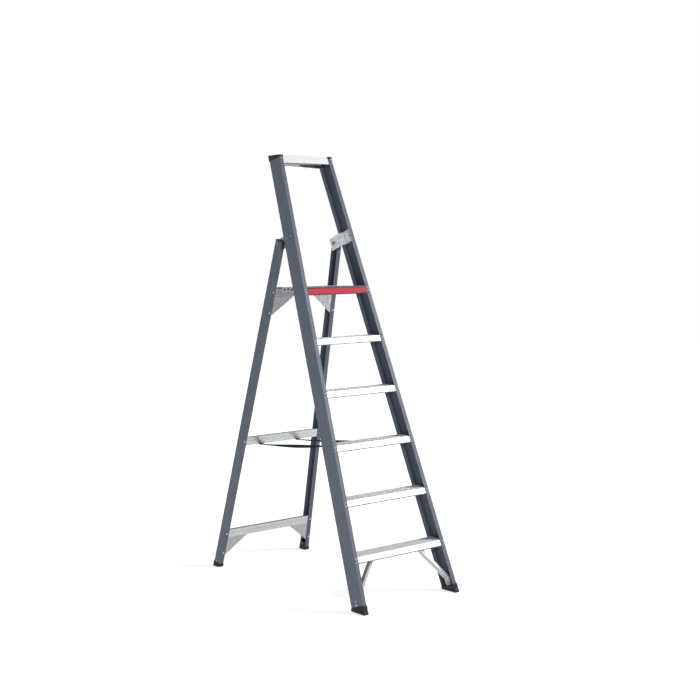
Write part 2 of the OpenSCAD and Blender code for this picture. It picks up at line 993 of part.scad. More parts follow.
module rear_shoe_rivets() {
    color(steel_colour)
        for (side = [-1, 1])
            on_leg_web(side, leg_depth * 0.6, leg_start + 16)
                rivet(leg_flange - 0.8);
}

// ---- Straps ----

strap_front_z = strap_tread * step_rise - strap_front_drop;
strap_front_y = strap_front_z * tan(stile_tilt) + stile_wall / cos(stile_tilt) + tread_depth;
strap_bar_along = (bar_tops[1] - bar_face) / cos(leg_tilt) - 5;
strap_rear_y = rear_foot_y + (leg_wall + 2) * cos(leg_tilt) - strap_bar_along * sin(leg_tilt);
strap_rear_z = (leg_wall + 2) * sin(leg_tilt) + strap_bar_along * cos(leg_tilt);

// Plates behind the third tread that hold the straps' front ends
module strap_anchors() {
    color(plate_colour)
        difference() {
            at_strap_front()
                translate([-strap_clip_w / 2, 0.2, -10])
                    cube([strap_clip_w, 2, 19]);
            at_strap_front()
                strap_anchor_rivet_place()
                    rivet_hole(12);
        }
}

// Puts children at each strap's front end, with z along the third tread's rear wall
module at_strap_front() {
    for (x = strap_x)
        translate([x, strap_front_y - centre_y, strap_front_z])
            rotate([-stile_tilt, 0, 0])
                children();
}

module strap_anchor_rivet_place() {
    translate([0, 2.2, 4])
        rotate([-90, 0, 0])
            children();
}

// Small hooks round the middle crossbar's lower edge that hold the straps' rear ends
module strap_clips() {
    lean = -tan(leg_tilt);
    color(black_colour)
        difference() {
            for (x = strap_x)
                translate([x, 0, 0])
                    at_bar(1, bar_gap)
                        across(strap_clip_w) {
                            leaning_band(-1.7, -0.1, bar_face - 11, bar_face + 1.8, lean);
                            leaning_band(-1.7, bar_lip, bar_face + 0.2, bar_face + 1.8, lean);
                        }
            strap_clip_rivet_places()
                rivet_hole(12);
        }
}

// Puts children on the front of each strap's clip, with +z pointing out of it
module strap_clip_rivet_places() {
    on_rear_frame()
        for (x = strap_x)
            translate([x, leg_wall + bar_gap - 1.7, strap_bar_along + 11])
                rotate([90, 0, 0])
                    children();
}

// A flat band of webbing, straight between its two ends
module strap(index) {
    front = [strap_front_y + 5, strap_front_z - 6];
    rear = [strap_rear_y + 4, strap_rear_z];
    run = norm(rear - front);
    slope = atan2(rear[1] - front[1], rear[0] - front[0]);
    color(black_colour)
        translate([strap_x[index], front[0] - centre_y, front[1]])
            rotate([slope, 0, 0])
                translate([-strap_width / 2, 0, -strap_thick / 2])
                    cube([strap_width, run, strap_thick]);
}

// ---- Assembly ----

stile(-1);  // left_stile
stile(1);  // right_stile
stile_cap(-1);  // left_stile_cap
stile_cap(1);  // right_stile_cap
front_shoe(-1);  // left_front_shoe
front_shoe(1);  // right_front_shoe
step(1);  // tread_1
step(2);  // tread_2
step(3);  // tread_3
step(4);  // tread_4
step(5);  // tread_5
step(tread_count + 1);  // top_step
top_step_cover();
top_rail();
tread_rivets();
brace(-1);  // left_brace
brace(1);  // right_brace
brace_rivets();
hinge_bracket(-1);  // left_hinge_bracket
hinge_bracket(1);  // right_hinge_bracket
bracket_rivets();
platform_hinge();
platform_pin();
strap_anchors();
platform();
leg(-1);  // left_leg
leg(1);  // right_leg
leg_plug(-1);  // left_leg_plug
leg_plug(1);  // right_leg_plug
pivot_bolt(-1);  // left_pivot_bolt
pivot_bolt(1);  // right_pivot_bolt
pivot_washers();
crossbar(0);  // low_crossbar
crossbar(1);  // middle_crossbar
crossbar(2);  // deck_crossbar
gusset(-1, 0);  // left_low_gusset
gusset(1, 0);  // right_low_gusset
gusset(-1, 2);  // left_deck_gusset
gusset(1, 2);  // right_deck_gusset
crossbar_rivets();
rear_shoe(-1);  // left_rear_shoe
rear_shoe(1);  // right_rear_shoe
rear_shoe_rivets();
strap_clips();
strap(0);  // left_strap
strap(1);  // right_strap
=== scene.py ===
"""Looks of the step ladder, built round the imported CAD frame. Lengths are in metres."""

import math

import bmesh
import bpy
from mathutils import Matrix, Vector


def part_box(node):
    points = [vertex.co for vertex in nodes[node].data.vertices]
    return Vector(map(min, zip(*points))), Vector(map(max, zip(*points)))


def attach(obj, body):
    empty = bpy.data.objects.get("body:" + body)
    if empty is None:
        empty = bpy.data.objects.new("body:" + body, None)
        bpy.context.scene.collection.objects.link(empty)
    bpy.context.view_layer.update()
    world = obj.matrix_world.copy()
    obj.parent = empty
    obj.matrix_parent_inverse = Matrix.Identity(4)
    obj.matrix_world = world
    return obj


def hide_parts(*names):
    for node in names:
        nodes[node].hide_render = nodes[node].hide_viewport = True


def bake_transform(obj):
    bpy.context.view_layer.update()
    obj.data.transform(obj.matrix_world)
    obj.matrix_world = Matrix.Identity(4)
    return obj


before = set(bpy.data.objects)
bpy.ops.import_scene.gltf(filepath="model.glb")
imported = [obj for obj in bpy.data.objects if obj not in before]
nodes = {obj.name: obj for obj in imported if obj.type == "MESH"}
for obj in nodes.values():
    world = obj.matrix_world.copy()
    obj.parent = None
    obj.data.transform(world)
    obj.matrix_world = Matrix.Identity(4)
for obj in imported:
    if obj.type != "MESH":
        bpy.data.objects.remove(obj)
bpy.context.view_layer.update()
scene = bpy.context.scene

STILE_TILT = math.radians(19.8)
LEG_TILT = math.radians(15.9)
TREAD_RISE = 0.25 * math.cos(STILE_TILT)
STILE_FOOT_Y = 0.602666
LEG_FOOT_Y = 1.156 - STILE_FOOT_Y
LOW_BAR_TOP = 0.1945
MIDDLE_BAR_TOP = 0.673
DECK_BAR_TOP = 6 * TREAD_RISE - 0.0031
RAIL_FRONT = 0.037
STILE_MIDDLE = 0.041
LEG_MIDDLE = 0.024
SIDES = (("left", -1), ("right", 1))


# ---- Camera ----

CAMERA_AT = Vector((-3.5635, -4.6232, 1.5216))
CAMERA_HEADING = math.radians(51.24)
CAMERA_PITCH = math.radians(-4.079)
CAMERA_ROLL = math.radians(-1.046)
CAMERA_LENS = 62.9
CAMERA_REACH = 60.0
SENSOR = 36.0


def make_camera():
    """Stands the camera in front of the ladder, to its left, and a little above the platform."""
    level = math.cos(CAMERA_PITCH)
    ahead = Vector((math.cos(CAMERA_HEADING) * level,
                    math.sin(CAMERA_HEADING) * level,
                    math.sin(CAMERA_PITCH)))
    right = Vector((math.sin(CAMERA_HEADING), -math.cos(CAMERA_HEADING), 0.0))
    up = right.cross(ahead)
    rolled_right = right * math.cos(CAMERA_ROLL) + up * math.sin(CAMERA_ROLL)
    rolled_up = up * math.cos(CAMERA_ROLL) - right * math.sin(CAMERA_ROLL)
    data = bpy.data.cameras.new("camera")
    data.sensor_width = SENSOR
    data.lens = CAMERA_LENS
    data.clip_end = CAMERA_REACH
    camera = bpy.data.objects.new("camera", data)
    scene.collection.objects.link(camera)
    turn = Matrix((rolled_right, rolled_up, -ahead)).transposed().to_4x4()
    camera.matrix_world = Matrix.Translation(CAMERA_AT) @ turn
    scene.camera = camera


# ---- Studio ----

ROOM_LIGHT = 0.40
FLOOR_REACH = 14.0
FLOOR_GAP = 0.0005
FLOOR_NEAR = 0.9
FLOOR_FAR = 3.0
FLOOR_GLOW = 0.5
FLOOR_FAR_GLOW = 0.7
KEY_LIGHT = 220.0
FILL_LIGHT = 62.0


def add_area_light(name, at, aim, size, power):
    """A square soft light that the camera doesn't see."""
    data = bpy.data.lights.new(name, "AREA")
    data.shape = "SQUARE"
    data.size = size
    data.energy = power
    light = bpy.data.objects.new(name, data)
    scene.collection.objects.link(light)
    light.location = at
    light.rotation_euler = (Vector(aim) - Vector(at)).to_track_quat("-Z", "Y").to_euler()
    light.visible_camera = False


def make_studio():
    """A white room that is dimmer than it looks, a soft light on either side in front, and a pale floor."""
    world = bpy.data.worlds.new("studio")
    scene.world = world
    world.use_nodes = True
    tree = world.node_tree
    seen = tree.nodes["Background"]
    seen.inputs["Color"].default_value = (1.0, 1.0, 1.0, 1.0)
    seen.inputs["Strength"].default_value = 1.0
    room = tree.nodes.new("ShaderNodeBackground")
    room.inputs["Color"].default_value = (0.97, 0.98, 1.0, 1.0)
    room.inputs["Strength"].default_value = ROOM_LIGHT
    switch = tree.nodes.new("ShaderNodeMixShader")
    tree.links.new(tree.nodes.new("ShaderNodeLightPath").outputs["Is Camera Ray"], switch.inputs[0])
    tree.links.new(room.outputs[0], switch.inputs[1])
    tree.links.new(seen.outputs[0], switch.inputs[2])
    tree.links.new(switch.outputs[0], tree.nodes["World Output"].inputs["Surface"])
    add_area_light("key", (3.9, -3.6, 3.2), (0.0, 0.1, 0.9), 2.4, KEY_LIGHT)
    add_area_light("fill", (-1.7, -4.6, 2.2), (0.0, 0.0, 0.9), 1.8, FILL_LIGHT)
    scene.view_settings.view_transform = "Standard"
    scene.view_settings.look = "None"
    make_floor()


def make_floor():
    corners = [(x * FLOOR_REACH, y * FLOOR_REACH, 0) for x, y in ((-1, -1), (1, -1), (1, 1), (-1, 1))]
    mesh = bpy.data.meshes.new("floor")
    mesh.from_pydata(corners, [], [(0, 1, 2, 3)])
    floor = bpy.data.objects.new("floor", mesh)
    scene.collection.objects.link(floor)
    floor.location.z = -FLOOR_GAP
    floor.data.materials.append(floor_material())


def floor_material():
    """White paper that glows more with distance, so that it runs into the white room with no edge."""
    material = bpy.data.materials.new("floor")
    material.use_nodes = True
    tree = material.node_tree
    place = tree.nodes.new("ShaderNodeTexCoord").outputs["Object"]
    length = tree.nodes.new("ShaderNodeVectorMath")
    length.operation = "LENGTH"
    tree.links.new(place, length.inputs[0])
    glow = tree.nodes.new("ShaderNodeMapRange")
    glow.interpolation_type = "SMOOTHSTEP"
    glow.inputs["From Min"].default_value = FLOOR_NEAR
    glow.inputs["From Max"].default_value = FLOOR_FAR
    glow.inputs["To Min"].default_value = FLOOR_GLOW
    glow.inputs["To Max"].default_value = FLOOR_FAR_GLOW
    tree.links.new(length.outputs["Value"], glow.inputs["Value"])
    shader = tree.nodes["Principled BSDF"]
    shader.inputs["Base Color"].default_value = (0.96, 0.96, 0.96, 1.0)
    shader.inputs["Roughness"].default_value = 0.9
    shader.inputs["Emission Color"].default_value = (1.0, 1.0, 1.0, 1.0)
    tree.links.new(glow.outputs["Result"], shader.inputs["Emission Strength"])
    return material


# ---- Materials ----

CLOUDY = (0.02, 0.02, 0.02)
FINE = (0.004, 0.004, 0.004)
TINY = (0.002, 0.002, 0.002)
PEBBLED = (0.0012, 0.0012, 0.0012)
DRAWN_ACROSS = (0.5, 0.0015, 0.0015)
LINE_BLUR = 0.0004


class Surface:
    """Builds one procedural material: colour, roughness and bump that vary over the object's own space."""

    def __init__(self, name, metallic=0.0, specular=0.5):
        self.material = bpy.data.materials.new(name)
        self.material.use_nodes = True
        self.tree = self.material.node_tree
        self.shader = self.tree.nodes["Principled BSDF"]
        self.shader.inputs["Metallic"].default_value = metallic
        self.shader.inputs["Specular IOR Level"].default_value = specular
        self.place = self.tree.nodes.new("ShaderNodeTexCoord").outputs["Object"]

    def node(self, kind, **inputs):
        """A node whose inputs are linked to outputs or set to values."""
        made = self.tree.nodes.new(kind)
        for key, value in inputs.items():
            socket = made.inputs[key.replace("_", " ")]
            if hasattr(value, "is_output"):
                self.tree.links.new(value, socket)
            else:
                socket.default_value = value
        return made

    def grain(self, stretch, tilt=0.0, detail=4.0):
        """Noise in the object's space, stretched by a factor on each axis, after a lean about X."""
        mapping = self.node("ShaderNodeMapping", Vector=self.place)
        mapping.vector_type = "TEXTURE"
        mapping.inputs["Rotation"].default_value = (tilt, 0.0, 0.0)
        mapping.inputs["Scale"].default_value = stretch
        noise = self.node("ShaderNodeTexNoise", Vector=mapping.outputs["Vector"], Scale=1.0, Detail=detail)
        return noise.outputs["Fac"]

    def ramp(self, value, stops):
        """Colours along a 0 to 1 value. stops are (place, colour)."""
        made = self.node("ShaderNodeValToRGB", Fac=value)
        points = made.color_ramp.elements
        while len(points) < len(stops):
            points.new(0.5)
        for point, (place, colour) in zip(points, stops):
            point.position = place
            point.color = (*colour, 1.0)
        return made.outputs["Color"]

    def spread(self, value, low, high):
        """Noise, which lies mostly between 0.3 and 0.7, stretched to run from low to high."""
        made = self.node("ShaderNodeMapRange", Value=value)
        made.inputs["From Min"].default_value = 0.3
        made.inputs["From Max"].default_value = 0.7
        made.inputs["To Min"].default_value = low
        made.inputs["To Max"].default_value = high
        return made.outputs["Result"]

    def mix(self, factor, first, second):
        """The first colour where the factor is 0, and the second where it is 1."""
        made = self.tree.nodes.new("ShaderNodeMix")
        made.data_type = "RGBA"
        self.tree.links.new(factor, made.inputs["Factor"])
        for value, socket in ((first, made.inputs["A"]), (second, made.inputs["B"])):
            if hasattr(value, "is_output"):
                self.tree.links.new(value, socket)
            else:
                socket.default_value = (*value, 1.0)
        return made.outputs["Result"]

    def drop(self, crest, period=10.0):
        """How far a point lies below the nearest crest above it. Crests repeat upwards with the period."""
        start = crest + 10 * period + 0.0002
        return self.math("MODULO", self.math("SUBTRACT", start, self.axes(self.place)["Z"]), period)

    def lined(self, colour, drop, lines, dark):
        """Draws level lines on a colour. lines are (upper, lower, strength), in metres below the crest."""
        for upper, lower, strength in lines:
            inside = self.math("MULTIPLY", self.step(drop, upper - LINE_BLUR, upper + LINE_BLUR),
                               self.step(drop, lower + LINE_BLUR, lower - LINE_BLUR))
            colour = self.mix(self.math("MULTIPLY", inside, strength), colour, dark)
        return colour

    def edges(self, radius, low, high):
        """A value that rises from 0 to 1 at sharp corners, where a surface wears and catches the light; the
        paler colour put there is partly wear and partly a painted highlight.
        """
        bevel = self.node("ShaderNodeBevel", Radius=radius)
        bevel.samples = 4
        true = self.tree.nodes.new("ShaderNodeNewGeometry")
        dot = self.tree.nodes.new("ShaderNodeVectorMath")
        dot.operation = "DOT_PRODUCT"
        self.tree.links.new(bevel.outputs["Normal"], dot.inputs[0])
        self.tree.links.new(true.outputs["Normal"], dot.inputs[1])
        wear_and_highlight = self.node("ShaderNodeMapRange", Value=dot.outputs["Value"])
        wear_and_highlight.inputs["From Min"].default_value = high
        wear_and_highlight.inputs["From Max"].default_value = low
        return wear_and_highlight.outputs["Result"]

    def axes(self, vector):
        """The three parts of a vector."""
        parts = self.tree.nodes.new("ShaderNodeSeparateXYZ")
        self.tree.links.new(vector, parts.inputs[0])
        return parts.outputs

    def facing(self):
        """The surface's own direction, in its X, Y and Z parts."""
        return self.axes(self.tree.nodes.new("ShaderNodeNewGeometry").outputs["True Normal"])

    def math(self, operation, first, second=0.0):
        made = self.tree.nodes.new("ShaderNodeMath")
        made.operation = operation
        for value, socket in ((first, made.inputs[0]), (second, made.inputs[1])):
            if hasattr(value, "is_output"):
                self.tree.links.new(value, socket)
            else:
                socket.default_value = value
        return made.outputs[0]

    def step(self, value, low, high):
        """A smooth 0 to 1 as a value passes from low to high."""
        made = self.node("ShaderNodeMapRange", Value=value)
        made.interpolation_type = "SMOOTHSTEP"
        made.inputs["From Min"].default_value = low
        made.inputs["From Max"].default_value = high
        return made.outputs["Result"]

    def colour(self, value):
        self.tree.links.new(value, self.shader.inputs["Base Color"])

    def roughness(self, value):
        self.tree.links.new(value, self.shader.inputs["Roughness"])

    def metallic(self, value):
        self.tree.links.new(value, self.shader.inputs["Metallic"])

    def bump(self, height, strength, distance, rounding=0.0008):
        """Relief from a height, over corners that catch the light as if they were rounded."""
        bevel = self.node("ShaderNodeBevel", Radius=rounding)
        bevel.samples = 6
        made = self.node("ShaderNodeBump", Height=height, Normal=bevel.outputs["Normal"])
        made.inputs["Strength"].default_value = strength
        made.inputs["Distance"].default_value = distance
        self.tree.links.new(made.outputs["Normal"], self.shader.inputs["Normal"])


def shade(colour, factor):
    return tuple(min(1.0, part * factor) for part in colour)


def painted_frame(name, tilt, base, shaded_inner, split, front, rear):
    """Grey-blue satin coat on a leaning channel, with faint drawing lines along it and painted shade inside
    the channel.

    front and rear scale the colour of the forward faces of its two flanges, which lie on either side of the
    depth split: below 1 this is painted shade, above 1 painted light.
    """
    surface = Surface(name, specular=0.45)
    streaks = surface.grain((0.004, 0.004, 0.6), tilt)
    blotches = surface.grain((0.12, 0.12, 0.12), tilt, detail=3.0)

    def streaked(colour):
        return surface.ramp(streaks, [(0.3, shade(colour, 0.88)), (0.7, shade(colour, 1.12))])

    place = surface.axes(surface.place)
    facing = surface.facing()
    outside = surface.mix(surface.spread(blotches, 0.0, 0.35), streaked(base), shade(base, 0.85))
    inwards = surface.math("MULTIPLY", facing["X"], place["X"])
    # Faces turned towards the ladder's middle take the darker inside colour: painted shade in the channel.
    coat = surface.mix(surface.step(inwards, -0.02, -0.06), outside, streaked(shaded_inner))
    depth = surface.math("ADD", surface.math("MULTIPLY", place["Y"], math.cos(tilt)),
                         surface.math("MULTIPLY", place["Z"], math.sin(tilt)))
    # Forward faces are darkened on the front flanges and lightened inside on the rear flanges: painted shade
    # and painted light.
    flange = surface.mix(surface.step(depth, split - 0.004, split + 0.004),
                         streaked(shade(base, front)), streaked(shade(base, rear)))
    coat = surface.mix(surface.step(facing["Y"], -0.6, -0.8), coat, flange)
    # Sharp corners painted paler: partly wear to bare metal, partly a painted highlight.
    surface.colour(surface.mix(surface.edges(0.0012, 0.85, 0.97), coat, shade(base, 1.35)))
    surface.roughness(surface.spread(blotches, 0.42, 0.52))
    surface.bump(surface.grain((0.0015, 0.0015, 0.003), tilt), 0.12, 0.0004)
    return surface.material


def bare_metal(name, tone, stretch, rough=(0.32, 0.46), metallic=0.85, mottle=0.12, wear_and_highlight=1.0):
    """Plain aluminium with drawing lines along one direction and a mottled skin."""
    surface = Surface(name, metallic=metallic)
    lines = surface.grain(stretch)
    clouds = surface.grain((0.014, 0.014, 0.014), detail=5.0)
    streaked = surface.ramp(lines, [(0.3, shade(tone, 0.93)), (0.7, shade(tone, 1.05))])
    skin = surface.mix(surface.spread(clouds, 0.0, 0.8), streaked, shade(tone, 1.0 - 2 * mottle))
    # Sharp corners are painted paler when the last factor is above 1: partly wear, partly a painted
    # highlight.
    surface.colour(surface.mix(surface.edges(0.0014, 0.85, 0.97), skin, shade(tone, wear_and_highlight)))
    surface.roughness(surface.spread(clouds, *rough))
    surface.bump(lines, 0.06, 0.0003)
    return surface.material


def rail_metal(edge):
    """The hand rail: brushed in front. The rear wall shows below that, smoother, with painted shade over its
    right half.
    """
    surface = Surface("rail_metal")
    streaks = surface.grain((0.5, 0.004, 0.004))
    lines = surface.ramp(streaks, [(0.3, (0.58, 0.58, 0.60)), (0.7, (0.68, 0.68, 0.71))])
    place = surface.axes(surface.place)
    forward = surface.step(surface.facing()["Y"], -0.5, -0.7)
    below = surface.math("MULTIPLY", forward, surface.step(place["Z"], edge + 0.0006, edge - 0.0006))
    # Pale at the left, painted shade towards the right end of this strip.
    painted_shade_strip = surface.mix(surface.step(place["X"], 0.0, 0.03), (1.0, 1.0, 1.0), (0.18, 0.18, 0.185))
    surface.colour(surface.mix(below, lines, painted_shade_strip))
    surface.metallic(surface.math("ADD", 0.3, surface.math("MULTIPLY", below, 0.2)))
    surface.roughness(surface.math("SUBTRACT", 0.38, surface.math("MULTIPLY", below, 0.18)))
    return surface.material


def bar_metal(name, tone, crest, lines):
    """A crossbar's extrusion, with thin dark lines along its front."""
    surface = Surface(name, metallic=0.85)
    streaks = surface.grain(DRAWN_ACROSS)
    clouds = surface.grain(CLOUDY, detail=5.0)
    streaked = surface.ramp(streaks, [(0.3, shade(tone, 0.92)), (0.7, shade(tone, 1.05))])
    mottled = surface.mix(surface.spread(clouds, 0.0, 0.6), streaked, shade(tone, 0.86))
    surface.colour(surface.lined(mottled, surface.drop(crest), lines, (0.10, 0.10, 0.11)))
    surface.roughness(surface.spread(clouds, 0.3, 0.46))
    surface.bump(streaks, 0.1, 0.0003)
    return surface.material


def tread_metal(name, front_shadow_lines, front=(0.90, 0.91, 0.93), top=(0.84, 0.84, 0.89)):
    """Bright extrusion with rubbed grip ribs on top, painted shade in the grooves, and painted shadow lines
    along its front.
    """
    surface = Surface(name, specular=0.3)
    streaks = surface.grain(DRAWN_ACROSS)
    clouds = surface.grain((0.06, 0.06, 0.06), detail=4.0)
    drop = surface.drop(0.0, TREAD_RISE)
    bright = surface.ramp(streaks, [(0.3, shade(front, 0.95)), (0.7, shade(front, 1.03))])
    # The front lines are painted shadow lines.
    bright = surface.lined(bright, drop, front_shadow_lines, (0.03, 0.03, 0.035))
    wear_and_highlight = surface.ramp(clouds, [(0.35, shade(top, 0.96)), (0.65, shade(top, 1.15))])
    # Upward faces more than a millimetre below the tread's top, down in the grooves, are painted darker:
    # painted shade.
    shaded_grooves = surface.mix(surface.step(drop, 0.0006, 0.0012), wear_and_highlight, shade(top, 0.68))
    upwards = surface.step(surface.facing()["Z"], 0.8, 0.95)
    surface.colour(surface.mix(upwards, bright, shaded_grooves))
    surface.metallic(surface.math("SUBTRACT", 0.5, surface.math("MULTIPLY", upwards, 0.4)))
    surface.roughness(surface.spread(clouds, 0.38, 0.5))
    surface.bump(streaks, 0.1, 0.0003)
    return surface.material


def set_rivet_metal():
    """Brace rivets: bright heads outside, dark set ends inside."""
    surface = Surface("set_rivet_metal", metallic=0.4)
    outwards = surface.math("MULTIPLY", surface.facing()["X"], surface.axes(surface.place)["X"])
    wear = surface.grain(TINY)
    bright = surface.ramp(wear, [(0.3, (0.80, 0.80, 0.82)), (0.7, (0.95, 0.95, 0.97))])
    surface.colour(surface.mix(surface.step(outwards, 0.0, -0.02), bright, (0.10, 0.10, 0.105)))
    surface.roughness(surface.spread(wear, 0.3, 0.45))
    return surface.material


def moulded(name, base, rough=(0.5, 0.65), wear_and_highlight=2.2):
    """Moulded plastic or rubber with a fine pebbled skin and paler edges, partly rubbed wear and partly a
    painted highlight.
    """
    surface = Surface(name, specular=0.35)
    pebbles = surface.grain(PEBBLED, detail=2.0)
    clouds = surface.grain((0.03, 0.03, 0.03), detail=3.0)
    skin = surface.ramp(clouds, [(0.3, shade(base, 0.8)), (0.7, shade(base, 1.3))])
    surface.colour(surface.mix(surface.edges(0.0016, 0.8, 0.97), skin, shade(base, wear_and_highlight)))
    surface.roughness(surface.spread(clouds, *rough))
    surface.bump(pebbles, 0.25, 0.0004, 0.0025)
    return surface.material


def red_plastic():
    """The top step's cover: satin red, with painted shade along its upper and lower edges."""
    base = (0.37, 0.022, 0.040)
    surface = Surface("red_plastic", specular=0.22)
    clouds = surface.grain((0.05, 0.02, 0.02), detail=4.0)
    skin = surface.ramp(clouds, [(0.3, shade(base, 0.88)), (0.7, shade(base, 1.1))])
    # Bands of painted shade along the cover's upper and lower edges.
    edges = [(0.0318, 0.0400, 0.8), (0.0, 0.0072, 0.85)]
    surface.colour(surface.lined(skin, surface.drop(0.0, TREAD_RISE), edges, (0.06, 0.01, 0.015)))
    surface.roughness(surface.spread(clouds, 0.45, 0.6))
    surface.bump(surface.grain(PEBBLED, detail=2.0), 0.2, 0.0003)
    return surface.material


def paint(names, material):
    """Gives each named piece of the frame one material."""
    for name in names:
        piece = nodes[name]
        piece.data.materials.clear()
        piece.data.materials.append(material)


def webbing():
    """Black woven polyester: ribs across the band and fine yarns along it."""
    surface = Surface("webbing", specular=0.3)
    across = surface.node("ShaderNodeTexWave", Vector=surface.place, Scale=260.0, Distortion=0.6)
    across.bands_direction = "Y"
    along = surface.node("ShaderNodeTexWave", Vector=surface.place, Scale=150.0, Distortion=0.4)
    along.bands_direction = "X"
    weave = surface.math("MULTIPLY", across.outputs["Fac"], along.outputs["Fac"])
    clouds = surface.grain(CLOUDY, detail=3.0)
    woven = surface.ramp(weave, [(0.1, (0.006, 0.006, 0.007)), (0.8, (0.020, 0.020, 0.022))])
    surface.colour(surface.mix(surface.spread(clouds, 0.0, 0.5), woven, (0.026, 0.026, 0.028)))
    surface.roughness(surface.spread(clouds, 0.72, 0.9))
    surface.bump(weave, 0.5, 0.0005)
    return surface.material


def both(*pieces):
    """The names of the left and right ones of some pieces."""
    return [f"{side}_{piece}" for side, _ in SIDES for piece in pieces]


def dress_frame():
    """Gives every piece of the frame its material."""
    grey_blue = (0.094, 0.114, 0.148)
    # The inside colour is darker: painted shade in the channels.
    inside = (0.048, 0.060, 0.084)
    stile_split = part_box("left_stile")[0][1] * math.cos(STILE_TILT) + STILE_MIDDLE
    leg_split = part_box("left_leg")[1][1] * math.cos(LEG_TILT) - LEG_MIDDLE
    # 0.78 and 0.60 darken the flanges' forward faces as painted shade; 1.4 and 1.2 lighten the rear flanges'
    # inside faces as painted light. The legs' insides are painted darker still.
    paint(both("stile"), painted_frame("stile_paint", -STILE_TILT, grey_blue, inside, stile_split, 0.78, 1.4))
    paint(both("leg"),
          painted_frame("leg_paint", LEG_TILT, grey_blue, shade(inside, 0.75), leg_split, 0.60, 1.2))

    # Painted shadow lines on the tread fronts: one along the top edge, one near the bottom.
    top_shadow_line = (-0.001, 0.0024, 0.55)
    lower_shadow_line = (0.0245, 0.0320, 0.82)
    treads = [f"tread_{i}" for i in range(1, 6)]
    paint(treads + ["platform"], tread_metal("tread_metal", [top_shadow_line, lower_shadow_line]))
    # The top step's second line is painted shadow in the gap above its red cover.
    paint(["top_step"], tread_metal("top_step_metal", [lower_shadow_line, (-0.001, 0.0036, 0.95)]))
    paint(["top_step_cover"], red_plastic())
    paint(["top_rail"], rail_metal(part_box("top_rail")[1][2] - RAIL_FRONT))

    # The line along each crossbar's top is painted shade at the edge of its top flange.
    bar_lines = [(-0.001, 0.0020, 0.6), (0.0175, 0.0190, 0.45)]
    paint(["low_crossbar"], bar_metal("low_bar_metal", (0.49, 0.50, 0.52), LOW_BAR_TOP, bar_lines))
    paint(["middle_crossbar"],
          bar_metal("middle_bar_metal", (0.49, 0.505, 0.52), MIDDLE_BAR_TOP, bar_lines))
    # The deck crossbar is the same extrusion as the others, painted darker as painted shade, with a wider
    # line of painted shade along its top.
    paint(["deck_crossbar"],
          bar_metal("deck_bar_shaded_metal", (0.26, 0.265, 0.275), DECK_BAR_TOP, [(-0.001, 0.0045, 0.9)]))
    paint(both("deck_gusset") + ["platform_hinge"],
          bare_metal("deck_gusset_metal", (0.36, 0.36, 0.368), FINE, mottle=0.2))
    paint(both("low_gusset"), bare_metal("low_gusset_metal", (0.39, 0.385, 0.39), FINE))

    # The brackets' corners are painted paler: partly wear, partly a painted highlight on their ribs.
    paint(both("hinge_bracket") + ["strap_anchors"],
          bare_metal("bracket_metal", (0.90, 0.91, 0.94), FINE, (0.35, 0.5), 0.3, 0.22, 1.2))
    # The two braces are the same metal, darker on the left as painted shade and paler on the right as painted
    # light.
    paint(["left_brace"], bare_metal("left_brace_shaded_metal", (0.38, 0.385, 0.39), FINE, (0.4, 0.5), 0.25))
    paint(["right_brace"], bare_metal("right_brace_lit_metal", (0.76, 0.765, 0.79), FINE, (0.4, 0.5), 0.25))
    paint(["strap_clips"], bare_metal("clip_metal", (0.30, 0.305, 0.31), FINE))
    paint(["tread_rivets", "bracket_rivets", "platform_pin"] + both("pivot_bolt"),
          bare_metal("rivet_metal", (0.36, 0.375, 0.40), TINY))
    paint(["crossbar_rivets", "rear_shoe_rivets"],
          bare_metal("leg_rivet_metal", (0.50, 0.51, 0.53), TINY, metallic=0.5))
    paint(["brace_rivets"], set_rivet_metal())
    paint(both("stile_cap", "leg_plug") + ["pivot_washers"],
          moulded("black_plastic", (0.018, 0.018, 0.020)))


# ---- Meshes ----

SHARP_ANGLE = math.radians(40)


def join_rings(mesh, rings):
    """Faces between each ring of points and the next."""
    for one, two in zip(rings, rings[1:]):
        for k in range(len(one)):
            following = (k + 1) % len(one)
            mesh.faces.new((one[k], one[following], two[following], two[k]))


def finish_piece(name, mesh, material):
    """Turns an edited mesh into an object of the scene, smooth except where it bends sharply."""
    bmesh.ops.recalc_face_normals(mesh, faces=mesh.faces)
    for face in mesh.faces:
        face.smooth = True
    for edge in mesh.edges:
        edge.smooth = edge.calc_face_angle(0.0) < SHARP_ANGLE
    data = bpy.data.meshes.new(name)
    mesh.to_mesh(data)
    mesh.free()
    piece = bpy.data.objects.new(name, data)
    scene.collection.objects.link(piece)
    data.materials.append(material)
    return piece


# ---- Straps ----

STRAP_WIDTH = 0.025
STRAP_THICK = 0.0014
STRAP_SAG = 0.006
STRAP_STEPS = 72
STRAP_COLUMNS = 8
TAB_RISE = 0.015
TAB_STEPS = 6
TURN_RADIUS = 0.003
TURN_STEPS = 4


def strap_line(front, rear, twist):
    """Points along a strap, with its roll at each: down the anchor, round a turn, then to the crossbar."""
    lean = Vector((0.0, math.sin(STILE_TILT), math.cos(STILE_TILT)))
    line = [(front + lean * TAB_RISE * (1 - i / TAB_STEPS), 0.0) for i in range(TAB_STEPS)]
    turn_low = front - lean * TURN_RADIUS
    turn_end = front + (rear - front).normalized() * TURN_RADIUS * 2
    for i in range(TURN_STEPS):
        t = i / TURN_STEPS
        line.append((front.lerp(turn_low, t).lerp(turn_low.lerp(turn_end, t), t), 0.0))
    for i in range(STRAP_STEPS + 1):
        t = i / STRAP_STEPS
        bell = math.sin(math.pi * t)
        sag = Vector((0.0, 0.0, STRAP_SAG * bell))
        line.append((turn_end.lerp(rear, t) - sag, twist * bell ** 2))
    return line


